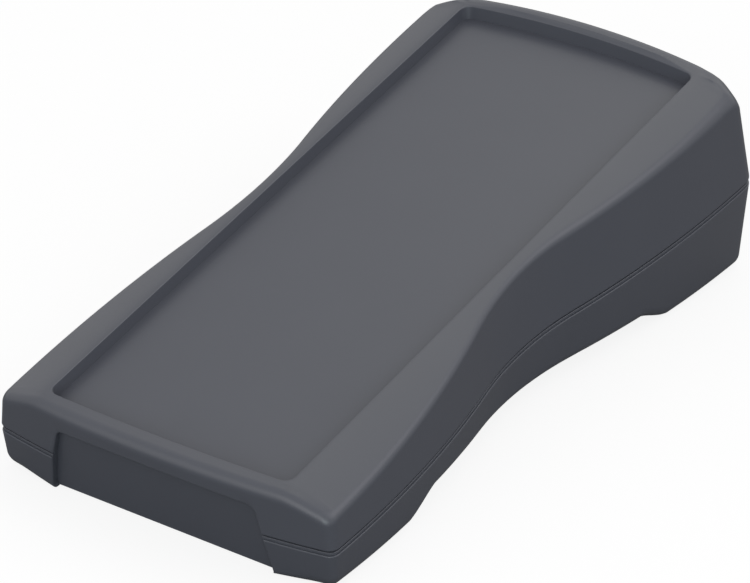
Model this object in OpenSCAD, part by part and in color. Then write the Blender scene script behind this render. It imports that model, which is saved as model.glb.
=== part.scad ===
// Handheld enclosure: a waisted two-part plastic case with a sunken keypad area and flat end panels.
// It is drawn with the seam between its shells level at height 0, X across and Y from the thin end
// to the thick end, and is then tilted and lifted until its two feet stand on the ground.

/* [Outline at the seam] */
// Length on the centre line
case_length = 173.6; // [150:0.2:200]
// Greatest width of the thin half
thin_width = 84.4; // [78:0.2:96]
// Width at the waist
waist_width = 70; // [64:0.2:76]
// Greatest width of the thick half
thick_width = 84.5; // [78:0.1:96]
// Distance from the middle to the widest place of the thin half
thin_peak = 72.4; // [60:0.2:80]
// Distance from the middle to the widest place of the thick half
thick_peak = 75.8; // [60:0.2:84]
// Distance from the middle to the waist, towards the thick end
waist_offset = -1.2; // [-6:0.2:8]
// Radius of the hollow at the waist
waist_radius = 90; // [60:1:130]
// Radius of the bowed thin end
thin_bow = 220; // [150:5:400]
// Radius of the bowed thick end
thick_bow = 260; // [150:5:400]
// Radius of the upright corners of the thin end
thin_corner = 2.4; // [2.2:0.1:6]
// Radius of the upright corners of the thick end
thick_corner = 6; // [5.8:0.1:12]
// Extra radius of the thin end's corners on the rim, inside the walls and at the ground
corner_growth = 2; // [1.8:0.1:4]
// Extra radius of the thick end's corners on the rim
rim_growth = 5; // [1.8:0.1:6]
// Share of the extra radius that the walls reach below the rim
wall_growth = 0.35; // [0:0.05:0.8]

/* [Heights from the seam] */
// Height of the top plane above the seam at the thin end
thin_rise = 11.1; // [10:0.1:16]
// Height of the top plane above the seam at the thick end
thick_rise = 27.2; // [18:0.1:34]
// Depth of the ground below the seam at the thin end
thin_drop = 9.3; // [8.5:0.1:16]
// Depth of the ground below the seam at the thick end
thick_drop = 23; // [14:0.1:28]
// Lean of the upper side walls, in degrees
side_draft = 5.5; // [3:0.5:9]
// Lean of the upper wall of the thin end, in degrees
thin_draft = 1.5; // [0.5:0.5:4]
// Lean of the upper wall of the thick end, in degrees
thick_draft = 8; // [2:0.5:9]
// Lean of the lower side walls, in degrees
lower_draft = 5.5; // [2:0.5:7]
// Lean of the lower end walls, in degrees
lower_end_draft = 6.5; // [1:0.5:8]

/* [Rim] */
// Width of the rim between the seam outline and the keypad area at the waist
side_rim = 5; // [4.5:0.1:9]
// Width of the rim between the seam outline and the keypad area at the thin end
thin_rim = 6.65; // [6:0.05:12]
// Width of the rim between the seam outline and the keypad area at the thick end
thick_rim = 11.25; // [7:0.05:14]
// Fall of the rim's side shoulders where they leave the keypad area, in degrees
shoulder_fall = 15; // [5:1:22]
// Radius of the hump of the side shoulders
shoulder_radius = 75; // [50:5:200]
// Width over which the shoulders turn from level into their fall
shoulder_turn = 1.2; // [0.4:0.1:3]
// Height of the crown of the thin end's rim at the keypad area
thin_crown = 0.6; // [0:0.1:1.5]
// Height of the crown of the thick end's rim at the keypad area
thick_crown = 0.2; // [0:0.1:1.5]
// Rise of the end rims outwards from the keypad area, in degrees
crown_slope = 7; // [0:1:14]
// Slope of the lens-shaped facet between the keypad area and the thick end's rim, in degrees
facet_slope = 18; // [0:1:40]
// Greatest rise of that facet
facet_rise = 0.7; // [0:0.05:1.2]
// How many times as much the rim falls towards the thick end's corners as it rises in the middle
corner_fall = 3.5; // [1:0.1:4]
// Rounding of the top edge at the thin end
thin_edge = 2.4; // [1.5:0.1:3]
// Rounding of the top edge at the waist
waist_edge = 2; // [1:0.1:2.6]
// Rounding of the top edge at the thick end
thick_edge = 4; // [2:0.1:4.6]
// Extra rounding of the top edge at the thick end's corners
corner_edge = 4.2; // [0:0.1:5]

/* [Keypad area] */
// Depth of the keypad area below the rim
recess_depth = 3.1; // [1:0.1:4]
// Bow of its thin end
thin_recess_bow = 1.4; // [0.4:0.1:2.4]
// Bow of its thick end
thick_recess_bow = 2.2; // [0.4:0.1:2.8]
// Radius of its corners
recess_corner = 2.4; // [2:0.1:6]
// Lean of its walls, in degrees
recess_draft = 4; // [1:0.5:10]

/* [Walls] */
// Thickness of the outer walls
wall = 2.6; // [2.2:0.1:3]
// Thickness below the keypad area
recess_wall = 2.2; // [1.6:0.1:3]
// Thickness of the belly and the feet
base_wall = 2.6; // [2:0.1:3.5]

/* [Seam groove] */
// Height of the shadow groove
groove_height = 1.3; // [0.6:0.1:2]
// Depth of the shadow groove
groove_depth = 0.5; // [0.4:0.05:0.9]
// Height of the tongue that enters the top shell
tongue_height = 2; // [1:0.1:2.6]
// Thickness of the tongue
tongue_wall = 1.1; // [0.8:0.05:1.3]
// Clearance round the tongue
tongue_gap = 0.1; // [0.05:0.05:0.2]

/* [Feet] */
// Length of the foot at the thin end
thin_foot = 33.6; // [20:0.2:46]
// Length of the foot at the thick end
thick_foot = 36.6; // [20:0.2:46]
// Length of the slope between a foot and the belly
foot_slope = 10; // [6:0.5:16]
// Share by which the ends of a slope are eased, from a straight ramp to a full wave
ramp_ease = 0.4; // [0:0.1:1]
// Height of the belly above the ground behind the thin foot
thin_belly = 3.7; // [1:0.1:4.2]
// Height of the belly above the ground before the thick foot
thick_belly = 3.8; // [1:0.1:8]
// Rounding of the bottom edge along the sides
base_edge = 3.4; // [1:0.1:3.6]
// Rounding of the bottom edge across the ends
base_end_edge = 0.8; // [0.6:0.1:2]
// Width beside an opening over which the one rounding becomes the other
foot_blend = 11; // [8:0.5:13]

/* [End panels] */
// Width of an end opening at the seam
opening_width = 52.4; // [30:0.2:58]
// Lean of the sides of an opening above the seam, in degrees
opening_lean = 14.4; // [0:0.2:16]
// Lean of the sides of an opening below the seam, in degrees
foot_lean = 9.6; // [0:0.2:14]
// Radius of the upper corners of an opening
opening_corner = 2.2; // [1:0.1:4]
// Height from the top plane down to the upper corners of an opening
lip_height = 4.1; // [4:0.1:6]
// Arch of the upper edge of an opening
opening_arch = 1; // [0:0.1:1.2]
// Depth of the thin end panel's face behind the middle of its end
thin_setback = 3.6; // [3:0.1:5]
// Depth of the thick end panel's face behind the middle of its end
thick_setback = 6.2; // [5:0.1:8]
// Lean of the thin end panel, in degrees
panel_lean = 5.3; // [0:0.1:7]
// Thickness of a panel
panel_wall = 1.8; // [1.2:0.1:2.4]
// Overlap of a panel behind each side of its opening
panel_lap = 1.5; // [1:0.1:2.5]
// Clearance round a panel
panel_gap = 0.12; // [0.05:0.01:0.25]
// Gap between a panel's upper edge and the ceiling
panel_headroom = 0.4; // [0.3:0.05:0.8]
// Height of a panel's lower edge above the ground
panel_lift = 0.1; // [0.1:0.1:1]
// Height above the ground at which the slots of a panel begin
slot_lift = 1.6; // [1.2:0.1:3]
// Thickness of the ribs behind a panel
rib_wall = 2; // [1.2:0.1:3]
// Width of the ribs behind a panel
rib_width = 4; // [3:0.1:6]

/* [Screws] */
// Distance of the screws from the middle plane
screw_x = 31; // [28:0.5:33]
// Distance of the screws from their end of the case
screw_inset = 18.5; // [16:0.5:28]
// Diameter of a screw's shank
shank_d = 2.6; // [2:0.1:3.2]
// Length of a screw below its head
shank_length = 9; // [7:0.5:9.5]
// Diameter of a screw's head
head_d = 5.2; // [4.5:0.1:6]
// Height of a screw's head
head_height = 2; // [1.5:0.1:3]
// Width of the slots of the cross in a screw's head
cross_width = 0.9; // [0.6:0.1:1.4]
// Length of the slots of the cross in a screw's head
cross_length = 3; // [2:0.1:3.6]
// Depth of the cross in a screw's head
cross_depth = 1.1; // [0.6:0.1:1.4]
// Clearance all round a shank in its pilot hole
pilot_gap = 0.05; // [0.02:0.01:0.1]
// Clearance all round a shank and a head in the bottom shell
screw_gap = 0.4; // [0.2:0.05:0.6]
// Thickness of plastic that a screw head clamps
clamp_wall = 3; // [2:0.1:4]
// Wall round a screw hole
boss_wall = 2; // [1.5:0.1:2.5]
// Gap between the bosses of the two shells
boss_gap = 0.1; // [0.05:0.05:0.3]

/* [Circuit board pillars] */
// Distance of the pillars from the middle plane
pillar_x = 24; // [16:0.5:27]
// Distance of the pillars from the foot slope next to them
pillar_inset = 8; // [5:0.5:20]
// Diameter of a pillar
pillar_d = 6; // [4.5:0.1:7]
// Diameter of the screw hole in a pillar
pillar_hole_d = 2.2; // [1.6:0.1:2.6]
// Depth of the top of the pillars below the seam
pillar_drop = 2; // [1:0.1:3]

/* [Hidden] */
$fn = 40;
shell_colour = [0.28, 0.29, 0.32];
panel_colour = [0.25, 0.26, 0.29];
screw_colour = [0.7, 0.7, 0.72];

// Steps in which the outline, the roundings and the foot slopes are drawn
end_steps = 8;
corner_steps = 6;
foot_steps = 6;
slope_steps = 3;
belly_steps = 20;
edge_steps = 6;
base_steps = 4;
arch_steps = 6;
// Length by which cuts run past what they cut, and joined solids run into each other
past = 1;
// Step over which the slope of the rim is measured
probe = 0.5;

half_length = case_length / 2;
groove_half = groove_height / 2;
tongue_top = groove_half + tongue_height;
recess_half_width = waist_width / 2 - side_rim;
recess_half_length = half_length - (thin_rim + thick_rim) / 2;
recess_middle = (thin_rim - thick_rim) / 2;

// Planes of the top, the ceiling and the ground, as heights from the seam
function between(a, b, share) = a + (b - a) * share;
function top_plane(y) = between(thin_rise, thick_rise, y / case_length + 0.5);
function ceiling(y) = top_plane(y) - recess_depth - recess_wall;
function ground(y) = -between(thin_drop, thick_drop, y / case_length + 0.5);
function sagitta(r, chord) = r - sqrt(r * r - chord * chord);
function unit(a) = a / norm(a);

// The sides: a hollow arc at the waist, tangent to a swelling arc on either hand
function arc_sum(reach, swell) = (reach * reach + swell * swell) / (2 * swell);
thin_sum = arc_sum(thin_peak + waist_offset, (thin_width - waist_width) / 2);
thick_sum = arc_sum(thick_peak - waist_offset, (thick_width - waist_width) / 2);
thin_centre = [thin_width / 2 - thin_sum + waist_radius, -thin_peak];
thick_centre = [thick_width / 2 - thick_sum + waist_radius, thick_peak];
waist_centre = [waist_width / 2 + waist_radius, waist_offset];
thin_join = waist_offset - waist_radius * (thin_peak + waist_offset) / thin_sum;
thick_join = waist_offset + waist_radius * (thick_peak - waist_offset) / thick_sum;

// A place on the outline is [x, y] with its outward normal: [x, y, normal x, normal y]
function on_arc(centre, r, normal) = concat(centre + r * normal, normal);
function swell_place(centre, r, y) =
    let (rise = (y - centre.y) / r)
    on_arc(centre, r, [sqrt(1 - rise * rise), rise]);
function hollow_place(y) =
    let (
        rise = (y - waist_offset) / waist_radius,
        n = [-sqrt(1 - rise * rise), rise]
    )
    concat(waist_centre + waist_radius * n, -n);
function side_place(y) =
    y < thin_join ? swell_place(thin_centre, thin_sum - waist_radius, y)
    : y > thick_join ? swell_place(thick_centre, thick_sum - waist_radius, y)
    : hollow_place(y);

// The ends and the corners: each corner is an arc tangent to its end and to its side
function bow_radius(end) = end < 0 ? thin_bow : thick_bow;
function end_centre(end) = [0, end * (half_length - bow_radius(end))];
function side_centre(end) = end < 0 ? thin_centre : thick_centre;
function side_radius(end) = (end < 0 ? thin_sum : thick_sum) - waist_radius;
function meet(a, ra, b, rb, hand) =
    let (
        d = norm(b - a),
        along = (ra * ra - rb * rb + d * d) / (2 * d),
        off = sqrt(ra * ra - along * along),
        u = (b - a) / d
    )
    a + along * u + hand * off * [-u.y, u.x];
function corner_centre(end, r) =
    meet(end_centre(end), bow_radius(end) - r, side_centre(end), side_radius(end) - r, -end);
function end_turn(end, r) = unit(corner_centre(end, r) - end_centre(end));
function side_turn(end, r) = unit(corner_centre(end, r) - side_centre(end));
function end_place(end, r, share) =
    let (across = end_turn(end, r).x * share)
    on_arc(end_centre(end), bow_radius(end), [across, end * sqrt(1 - across * across)]);
function corner_place(end, r, share) =
    let (
        from = atan2(end_turn(end, r).y, end_turn(end, r).x),
        to = atan2(side_turn(end, r).y, side_turn(end, r).x),
        a = between(from, to, share)
    )
    on_arc(corner_centre(end, r), r, [cos(a), sin(a)]);
function side_end(end, r) = side_centre(end).y + side_radius(end) * side_turn(end, r).y;

// Places along a side, with a place at each end of each foot slope
thin_foot_end = -half_length + thin_foot;
thick_foot_end = half_length - thick_foot;
function steps_between(a, b, n) = [for (i = [0:n - 1]) between(a, b, i / n)];
function side_stops(thin_r, thick_r) = concat(
    steps_between(side_end(-1, thin_r), thin_foot_end, foot_steps),
    steps_between(thin_foot_end, thin_foot_end + foot_slope, slope_steps),
    steps_between(thin_foot_end + foot_slope, thick_foot_end - foot_slope, belly_steps),
    steps_between(thick_foot_end - foot_slope, thick_foot_end, slope_steps),
    steps_between(thick_foot_end, side_end(1, thick_r), foot_steps),
    [side_end(1, thick_r)]
);
function right_half(thin_r, thick_r) = concat(
    [for (i = [0:end_steps]) end_place(-1, thin_r, i / end_steps)],
    [for (i = [1:corner_steps - 1]) corner_place(-1, thin_r, i / corner_steps)],
    [for (y = side_stops(thin_r, thick_r)) side_place(y)],
    [for (i = [corner_steps - 1:-1:1]) corner_place(1, thick_r, i / corner_steps)],
    [for (i = [end_steps:-1:0]) end_place(1, thick_r, i / end_steps)]
);
last = len(right_half(thin_corner, thick_corner)) - 1;
ring_size = 2 * last;
thin_foot_index = end_steps + corner_steps + foot_steps;
thick_foot_index = last - thin_foot_index;
function mirrored(p) = [for (i = [0:len(p) - 1]) i % 2 == 0 && i < 4 ? -p[i] : p[i]];
function around(half) = concat(half, [for (i = [last - 1:-1:1]) mirrored(half[i])]);
outline = around(right_half(thin_corner, thick_corner));
soft_outline = around(right_half(thin_corner + corner_growth, thick_corner));
rim_outline = around(right_half(thin_corner + corner_growth, thick_corner + rim_growth));

// A point inwards of a place on the outline, at a height
function inward(p, inset, height) = [p[0] - p[2] * inset, p[1] - p[3] * inset, height];
function end_draft(y) = y < 0 ? thin_draft : thick_draft;
function upper_lean(p) = tan(side_draft) * p[2] * p[2] + tan(end_draft(p[1])) * p[3] * p[3];
function lower_lean(p) = tan(lower_draft) * p[2] * p[2] + tan(lower_end_draft) * p[3] * p[3];

// The rim: shoulders that fall away at the sides, and crowned ends
function shoulder(a) =
    a > 0
    ? tan(shoulder_fall) * (norm([a, shoulder_turn]) - shoulder_turn) + sagitta(shoulder_radius, a)
    : 0;
function crown(x, y) =
    let (
        end = y < recess_middle ? -1 : 1,
        across = 1 - pow(x / recess_half_width, 2),
        arch = max(0, across),
        beyond = max(0, abs(y - recess_middle) - recess_half_length - recess_bow(end) * arch),
        rise = tan(crown_slope) * beyond * across,
        facet = min(tan(facet_slope) * beyond, facet_rise * arch)
    )
    end < 0 ? thin_crown * arch + rise
    : across < 0 ? rise * corner_fall
    : thick_crown * arch + facet + rise;
function rim(x, y) = top_plane(y) - shoulder(abs(x) - recess_half_width) + crown(x, y);
function edge_radius(p) =
    between(waist_edge, p[1] < 0 ? thin_edge : thick_edge, min(1, abs(p[1]) / thin_peak))
    + (p[1] < 0 ? 0 : corner_edge * pow(2 * p[2] * p[3], 2));

// A rounded edge in the plane of inset and height, from a wall to the surface that it meets
function rounded(edge, along_wall, along_face, r, steps) =
    let (
        a = unit(along_wall),
        b = unit(along_face),
        opening = acos(a * b),
        reach = r / tan(opening / 2),
        centre = edge + unit(a + b) * r / sin(opening / 2),
        from = edge + a * reach - centre,
        to = edge + b * reach - centre,
        sweep = 180 - opening
    )
    [
        for (i = [0:steps])
            centre + (from * sin(sweep * (1 - i / steps)) + to * sin(sweep * i / steps)) / sin(sweep)
    ];
function rim_under(p, inset) = rim(p[0] - p[2] * inset, p[1] - p[3] * inset);
function top_edge(p) =
    let (
        lean = upper_lean(p),
        first = lean * rim_under(p, lean * top_plane(p[1])),
        inset = lean * rim_under(p, first),
        slope = (rim_under(p, inset + probe) - rim_under(p, inset)) / probe
    )
    rounded([inset, rim_under(p, inset)], [-lean, -1], [1, slope], edge_radius(p), edge_steps);
top_edges = [for (p = outline) top_edge(p)];
rim_edges = [for (p = rim_outline) top_edge(p)];

// The keypad area: a long rectangle with bowed ends and tangent corner arcs
function recess_bow(end) = end < 0 ? thin_recess_bow : thick_recess_bow;
function recess_end_radius(end) =
    (pow(recess_half_width, 2) + pow(recess_bow(end), 2)) / (2 * recess_bow(end));
function recess_end_middle(end) = recess_half_length + recess_bow(end) - recess_end_radius(end);
function recess_corner_y(end) =
    let (reach = recess_end_radius(end) - recess_corner, x = recess_half_width - recess_corner)
    recess_end_middle(end) + sqrt(reach * reach - x * x);
function recess_quarter(end, inset) =
    let (
        middle = recess_end_middle(end),
        r = recess_end_radius(end) - inset,
        corner = [recess_half_width - recess_corner, recess_corner_y(end)],
        corner_r = recess_corner - inset,
        turn = atan2(corner.y - middle, corner.x),
        bow = [
            for (i = [0:end_steps])
                let (x = r * cos(turn) * i / end_steps)
                [x, middle + sqrt(r * r - x * x)]
        ],
        bend = [
            for (i = [1:corner_steps - 1])
                let (a = turn * (1 - i / corner_steps))
                corner + corner_r * [cos(a), sin(a)]
        ]
    )
    [for (q = concat(bow, bend)) [q.x, recess_middle + end * q.y]];
function recess_half(inset) =
    let (
        from = recess_middle - recess_corner_y(-1),
        to = recess_middle + recess_corner_y(1),
        stops = side_stops(thin_corner, thick_corner),
        run = [for (y = stops) [recess_half_width - inset, between(from, to, side_share(y))]]
    )
    concat(recess_quarter(-1, inset), run, turned(recess_quarter(1, inset)));
function side_share(y) =
    (y - side_end(-1, thin_corner)) / (side_end(1, thick_corner) - side_end(-1, thin_corner));
recess_edge = around(recess_half(0));
recess_foot = around(recess_half(recess_depth * tan(recess_draft)));

// Rings of the top shell, from the floor of the keypad area over the rim and back up inside
function ring_of(places, inset, height) = [for (p = places) inward(p, inset, height)];
function edge_point(p, e) = inward(p, e[0], e[1]);
function softened(i, j, share) =
    between(edge_point(outline[i], top_edges[i][j]), edge_point(rim_outline[i], rim_edges[i][j]), share);
function halfway(a, b) = [(a.x + b.x) / 2, (a.y + b.y) / 2, rim((a.x + b.x) / 2, (a.y + b.y) / 2)];
edge_rings = [
    for (j = [edge_steps:-1:0])
        [for (i = [0:ring_size - 1]) softened(i, j, between(wall_growth, 1, j / edge_steps))]
];
recess_ring = [for (p = recess_edge) [p.x, p.y, rim(p.x, p.y)]];
skirt_wall = wall - tongue_wall - tongue_gap;
function inner_top(p) =
    let (inset = wall + upper_lean(p) * ceiling(p[1]), q = inward(p, inset, 0))
    [q.x, q.y, ceiling(q.y)];
top_rings = concat(
    [
        [for (p = recess_foot) [p.x, p.y, top_plane(p.y) - recess_depth]],
        recess_ring,
        [for (i = [0:ring_size - 1]) halfway(recess_ring[i], edge_rings[0][i])]
    ],
    edge_rings,
    [
        [for (p = outline) inward(p, upper_lean(p) * groove_half, groove_half)],
        ring_of(outline, skirt_wall, groove_half),
        ring_of(outline, skirt_wall, tongue_top + tongue_gap),
        ring_of(soft_outline, wall, tongue_top + tongue_gap),
        [for (p = soft_outline) inner_top(p)]
    ]
);

// Rings of the bottom shell, from its inner floor over the tongue and down to the feet
function eased(share) = between(share, share * share * (3 - 2 * share), ramp_ease);
function belly(y) =
    let (
        thin = eased(min(1, max(0, (y - thin_foot_end) / foot_slope))),
        thick = eased(min(1, max(0, (thick_foot_end - y) / foot_slope))),
        share = (y - thin_foot_end - foot_slope) / (thick_foot_end - thin_foot_end - 2 * foot_slope)
    )
    between(thin_belly, thick_belly, min(1, max(0, share))) * min(thin, thick);
function base_at(p, inset) = ground(p[1] - p[3] * inset) + belly(p[1]);
function foot_share(x) = min(1, max(0, (x - opening_width / 2) / foot_blend));
function base_edge_of(p) =
    let (
        lean = lower_lean(p),
        inset = -lean * base_at(p, 0),
        r = between(base_end_edge, base_edge, foot_share(abs(p[0])))
    )
    rounded([inset, base_at(p, inset)], [-lean, 1], [1, 0], r, base_steps);
base_edges = [for (p = outline) base_edge_of(p)];
soft_base_edges = [for (p = soft_outline) base_edge_of(p)];
function base_point(p, e, j) = inward(p, e[j][0], base_at(p, e[j][0]) + e[j][1] - e[base_steps][1]);
function base_ring(j) = [
    for (i = [0:ring_size - 1])
        between(
            base_point(outline[i], base_edges[i], j),
            base_point(soft_outline[i], soft_base_edges[i], j),
            j / base_steps
        )
];
function inner_base(p) =
    let (inset = wall - lower_lean(p) * (base_at(p, 0) + base_wall))
    inward(p, inset, base_at(p, inset) + base_wall);
bottom_rings = concat(
    [
        [for (p = soft_outline) inner_base(p)],
        ring_of(soft_outline, wall, tongue_top),
        ring_of(outline, wall - tongue_wall, tongue_top),
        ring_of(outline, wall - tongue_wall, groove_half),
        ring_of(outline, groove_depth, groove_half),
        ring_of(outline, groove_depth, -groove_half),
        [for (p = outline) inward(p, lower_lean(p) * groove_half, -groove_half)]
    ],
    [for (j = [0:base_steps]) base_ring(j)]
);

// Faces between rings, and faces that close the first and the last ring
function ring_faces(count) = [
    for (j = [0:count - 2], i = [0:ring_size - 1])
        let (a = j * ring_size + i, b = j * ring_size + (i + 1) % ring_size)
        each [[a, b, b + ring_size], [a, b + ring_size, a + ring_size]]
];
function lid(first, upwards) = let (f = [for (i = [0:ring_size - 1]) first + i]) upwards ? turned(f) : f;
function turned(f) = [for (i = [len(f) - 1:-1:0]) f[i]];
function left(i) = (ring_size - i) % ring_size;
function sole_faces(first, upwards) =
    let (
        thin = concat([for (i = [thin_foot_index:-1:1]) left(i)], [for (i = [0:thin_foot_index]) i]),
        thick = [for (i = [thick_foot_index:ring_size - thick_foot_index]) i],
        strips = [for (i = [thin_foot_index:thick_foot_index - 1]) [left(i), i, i + 1, left(i + 1)]]
    )
    [
        for (f = concat([thin, thick], strips))
            let (face = [for (k = f) first + k])
            upwards ? turned(face) : face
    ];
module lofted(rings, caps) {
    polyhedron(points = [for (r = rings) each r], faces = concat(ring_faces(len(rings)), caps));
}

// The whole case stands on its feet, with the middle of its length over the origin
tilt = atan((thick_drop - thin_drop) / case_length);
function level_y(p) = p.y * cos(tilt) - p.z * sin(tilt);
function end_y(end, x, height) =
    let (draft = height < 0 ? lower_end_draft : end_draft(end))
    end * (half_length - sagitta(bow_radius(end), x) - abs(height) * tan(draft));
function beside_opening(end, height) = [0, end_y(end, opening_side(height), height), height];
function lip_point(i) = softened(i, 0, wall_growth);
thin_end_y = min(level_y(lip_point(0)), level_y(beside_opening(-1, groove_half)));
thick_end_y = max([
    for (h = [-groove_half, ground(half_length) + base_end_edge]) level_y(beside_opening(1, h)),
    level_y(lip_point(last))
]);
skin_shift = -(thin_end_y + thick_end_y) / 2;
module standing() {
    translate([0, skin_shift, -ground(0) * cos(tilt)])
        rotate([tilt, 0, 0])
            children();
}

// End openings and panels: drawn across the case in X and height, then set along its length
function side_lean(height) = height < 0 ? foot_lean : opening_lean;
function opening_side(height) = opening_width / 2 - height * tan(side_lean(height));
function opening_top(end) = top_plane(end * half_length) - lip_height;
function arc_points(centre, r, from, to, steps) = [
    for (i = [0:steps]) let (a = between(from, to, i / steps)) centre + r * [cos(a), sin(a)]
];
module opening_shape(end, low) {
    top = opening_top(end);
    corner = [opening_side(top) - opening_corner / tan(45 + opening_lean / 2), top - opening_corner];
    right = arc_points(corner, opening_corner, opening_lean, 90, corner_steps);
    arch = [for (i = [1:arch_steps - 1]) between(1, -1, i / arch_steps)];
    crest = [for (s = arch) [corner.x * s, top + opening_arch * (1 - s * s)]];
    left_side = [for (i = [len(right) - 1:-1:0]) [-right[i].x, right[i].y]];
    seam_x = opening_side(0);
    low_x = opening_side(low);
    foot = [[-seam_x, 0], [-low_x, low], [low_x, low], [seam_x, 0]];
    polygon(concat(foot, right, crest, left_side));
}
module slot_shape(low, high, grow) {
    heights = low < 0 && high > 0 ? [low, 0, high] : [low, high];
    right = [for (h = heights) [opening_side(h) + grow, h]];
    left_side = [for (i = [len(right) - 1:-1:0]) [-right[i].x, right[i].y]];
    polygon(concat(right, left_side));
}
// Sets a shape as a plate whose outer face lies at a depth behind the face of an end's panel
function setback(end) = end < 0 ? thin_setback : thick_setback;
function panel_y(end) = end * (half_length - setback(end));
function panel_back_y(end) = end * (half_length - setback(end) - panel_wall);
module plate(end, depth, thickness) {
    translate([0, panel_y(end), 0])
        rotate([end < 0 ? panel_lean : 0, 0, 0])
            translate([0, end < 0 ? depth + thickness : -depth, 0])
                rotate([90, 0, 0])
                    linear_extrude(thickness)
                        children();
}
function panel_top(end) = min(ceiling(panel_y(end)), ceiling(panel_back_y(end))) - panel_headroom;
function lowest_ground(end) = max(ground(panel_y(end)), ground(panel_back_y(end)));
module end_cuts(end) {
    low = lowest_ground(end);
    plate(end, -setback(end) - past, setback(end) + past)
        opening_shape(end, low - thick_drop);
    plate(end, 0, panel_wall + panel_gap)
        slot_shape(low + slot_lift - panel_gap, panel_top(end) + panel_gap, panel_lap + panel_gap);
    plate(end, 0, panel_wall + panel_gap)
        slot_shape(low - thick_drop, low + slot_lift, 0);
}
module end_panel(end) {
    low = lowest_ground(end);
    plate(end, 0, panel_wall) {
        slot_shape(low + slot_lift, panel_top(end), panel_lap);
        slot_shape(low + panel_lift, low + slot_lift, -panel_gap);
    }
}
// Ribs that hold a panel against the end wall, between two heights
module panel_ribs(end, low, high) {
    plate(end, panel_wall + panel_gap, rib_wall)
        for (side = [-1, 1])
            polygon([
                [side * (opening_side(low) + panel_lap), low],
                [side * (opening_side(low) + panel_lap - rib_width), low],
                [side * (opening_side(high) + panel_lap - rib_width), high],
                [side * (opening_side(high) + panel_lap), high]
            ]);
}

// Screws stand square to the seam, with their heads up inside the feet
seat = -clamp_wall - boss_gap;
head_hole_d = head_d + 2 * screw_gap;
shank_hole_d = shank_d + 2 * screw_gap;
pilot_d = shank_d + 2 * pilot_gap;
function screw_y(end) = end * (half_length - screw_inset);
module at_screws() {
    for (end = [-1, 1], side = [-1, 1])
        translate([side * screw_x, screw_y(end), 0])
            children();
}
module case_screw() {
    translate([0, 0, seat])
        cylinder(d = shank_d, h = shank_length);
    difference() {
        translate([0, 0, seat - head_height])
            cylinder(d = head_d, h = head_height);
        for (turn = [0, 90])
            rotate(turn)
                translate([-cross_length / 2, -cross_width / 2, seat - head_height - past])
                    cube([cross_length, cross_width, cross_depth + past]);
    }
}
pillar_ys = [thin_foot_end + foot_slope + pillar_inset, thick_foot_end - foot_slope - pillar_inset];
function floor_under(y) = ground(y) + belly(y) + base_wall;

module top_shell() {
    color(shell_colour) standing() difference() {
        union() {
            lofted(top_rings, [lid(0, true), lid((len(top_rings) - 1) * ring_size, false)]);
            for (end = [-1, 1]) {
                panel_ribs(end, tongue_top + tongue_gap, ceiling(panel_back_y(end)) + past);
                for (side = [-1, 1])
                    translate([side * screw_x, screw_y(end), 0])
                        cylinder(d = pilot_d + 2 * boss_wall, h = ceiling(screw_y(end)) + past);
            }
        }
        at_screws()
            translate([0, 0, -past])
                cylinder(d = pilot_d, h = past + seat + shank_length + boss_gap);
        for (end = [-1, 1])
            end_cuts(end);
    }
}

module bottom_shell() {
    color(shell_colour) standing() difference() {
        union() {
            lofted(bottom_rings, concat(
                sole_faces(0, true),
                sole_faces((len(bottom_rings) - 1) * ring_size, false)
            ));
            for (end = [-1, 1]) {
                tube_foot = ground(screw_y(end)) + base_wall / 2;
                panel_ribs(end, ground(panel_back_y(end)) + base_wall / 2, -groove_half);
                for (side = [-1, 1])
                    translate([side * screw_x, screw_y(end), tube_foot])
                        cylinder(d = head_hole_d + 2 * boss_wall, h = -tube_foot - boss_gap);
            }
            for (y = pillar_ys, side = [-1, 1])
                translate([side * pillar_x, y, floor_under(y) - base_wall / 2])
                    cylinder(d = pillar_d, h = base_wall / 2 - floor_under(y) - pillar_drop);
        }
        at_screws() {
            translate([0, 0, seat - past])
                cylinder(d = shank_hole_d, h = 2 * past - seat);
            translate([0, 0, seat - thick_drop - past])
                cylinder(d = head_hole_d, h = thick_drop + past);
        }
        for (y = pillar_ys, side = [-1, 1])
            translate([side * pillar_x, y, floor_under(y)])
                cylinder(d = pillar_hole_d, h = -floor_under(y));
        for (end = [-1, 1])
            end_cuts(end);
    }
}

module thin_end_panel() {
    color(panel_colour) standing() end_panel(-1);
}

module thick_end_panel() {
    color(panel_colour) standing() end_panel(1);
}

module case_screws() {
    color(screw_colour) standing() at_screws() case_screw();
}

top_shell();
bottom_shell();
thin_end_panel();
thick_end_panel();
case_screws();
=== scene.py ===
import math

import bmesh
import bpy
from mathutils import Matrix, Vector


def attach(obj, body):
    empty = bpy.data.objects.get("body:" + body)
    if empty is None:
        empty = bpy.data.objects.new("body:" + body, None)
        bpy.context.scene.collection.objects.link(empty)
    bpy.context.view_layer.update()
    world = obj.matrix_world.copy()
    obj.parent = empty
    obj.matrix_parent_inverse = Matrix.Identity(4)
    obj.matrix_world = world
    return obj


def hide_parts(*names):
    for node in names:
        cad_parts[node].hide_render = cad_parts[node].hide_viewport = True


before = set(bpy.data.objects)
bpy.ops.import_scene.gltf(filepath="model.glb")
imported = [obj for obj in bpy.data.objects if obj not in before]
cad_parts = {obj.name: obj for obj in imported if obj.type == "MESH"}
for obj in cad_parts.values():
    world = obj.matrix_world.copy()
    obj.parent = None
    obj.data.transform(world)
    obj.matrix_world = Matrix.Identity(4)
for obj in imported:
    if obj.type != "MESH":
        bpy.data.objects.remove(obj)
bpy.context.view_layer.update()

MM = 0.001

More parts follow.
